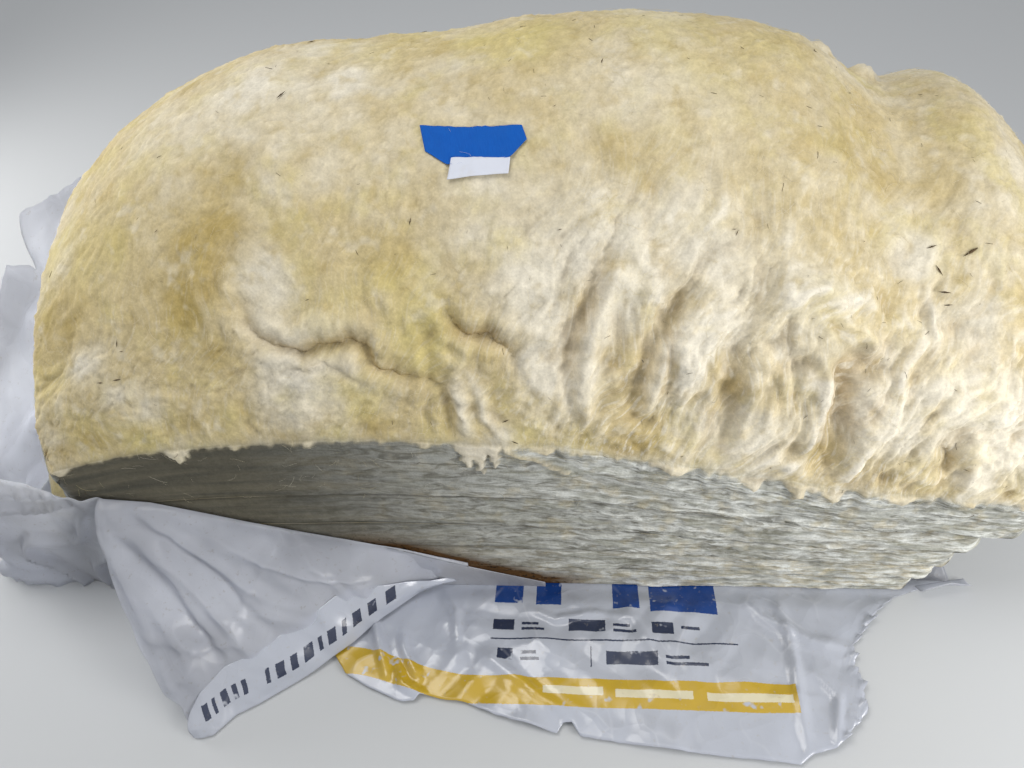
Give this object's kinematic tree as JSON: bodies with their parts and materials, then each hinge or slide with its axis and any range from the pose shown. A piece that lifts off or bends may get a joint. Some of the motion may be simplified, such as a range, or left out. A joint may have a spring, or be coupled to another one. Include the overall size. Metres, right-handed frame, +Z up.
{
  "type": "fiberglass batt stack",
  "caption": "Stack of flat unfaced fiberglass insulation batts, domed and wrinkled on top, lying on its cut-open plastic film bag.",
  "frame": {"origin": "middle of the stack's footprint, on the floor that the bag lies on", "axes": "+X along the batts to the right end, -Y towards the front where the bag is opened, +Z up"},
  "size_m": [1.368, 0.8168, 0.6229],
  "materials": {
    "glass_wool": "matte mineral wool, cream to ochre",
    "film": "white polyethylene film, creased, printed on one side",
    "blue_tape": "blue crepe masking tape",
    "white_paper": "plain white paper"
  },
  "bodies": {
    "root": {"batt_1": "glass_wool", "batt_2": "glass_wool", "batt_3": "glass_wool", "batt_4": "glass_wool", "batt_5": "glass_wool", "wrapper": "film", "tape_strip": "blue_tape", "paper_tag": "white_paper"}
  },
  "joints": []
}
